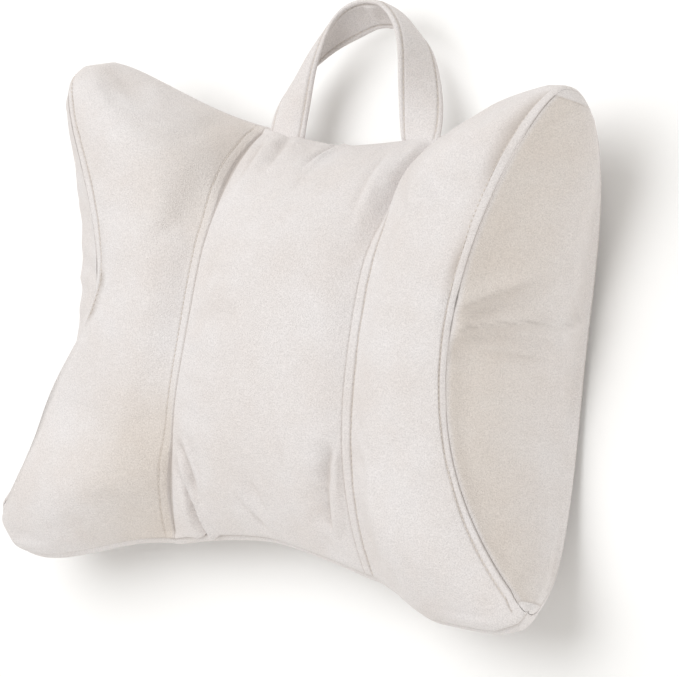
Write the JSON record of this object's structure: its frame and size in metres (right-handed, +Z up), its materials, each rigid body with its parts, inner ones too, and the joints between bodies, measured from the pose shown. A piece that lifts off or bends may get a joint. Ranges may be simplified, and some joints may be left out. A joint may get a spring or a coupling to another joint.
{
  "type": "lumbar pillow",
  "caption": "Bow-tie lumbar pillow in short-pile velvet, with a crowned face of joined panels, drawn-in sides with leaf-shaped gussets and a sewn carrying strap.",
  "frame": {"origin": "on the surface it rests on, in the middle of the flat spot of the back, under the centre panel", "axes": "+X across the pillow, to the right as one faces it; +Y to the edge with the handle; +Z up, out of the face"},
  "size_m": [0.4508, 0.4131, 0.111],
  "materials": {
    "velvet": "ivory short-pile velvet, matt with a soft sheen at grazing angles"
  },
  "bodies": {
    "root": {"pillow": "velvet", "handle_strap": "velvet"}
  },
  "joints": []
}
